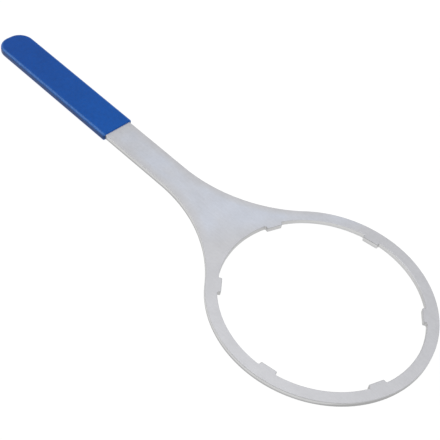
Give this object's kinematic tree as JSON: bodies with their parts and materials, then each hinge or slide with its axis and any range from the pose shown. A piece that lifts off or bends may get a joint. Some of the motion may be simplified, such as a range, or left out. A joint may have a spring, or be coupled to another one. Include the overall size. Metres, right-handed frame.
{
  "type": "filter housing wrench",
  "caption": "Flat steel ring wrench with lugs inside the ring, a flared neck and a straight bar with a vinyl grip; the lugs turn the bowl of a water filter housing",
  "frame": {"origin": "centre of the ring's opening, at half the plate's thickness", "axes": "+X runs along the bar from the ring to the end of the grip; +Z is the axis of the ring"},
  "size_m": [0.52, 0.2, 0.008],
  "materials": {
    "plated_steel": "satin",
    "blue_vinyl": "satin"
  },
  "bodies": {
    "root": {"wrench_plate": "plated_steel", "vinyl_grip": "blue_vinyl"}
  },
  "joints": []
}
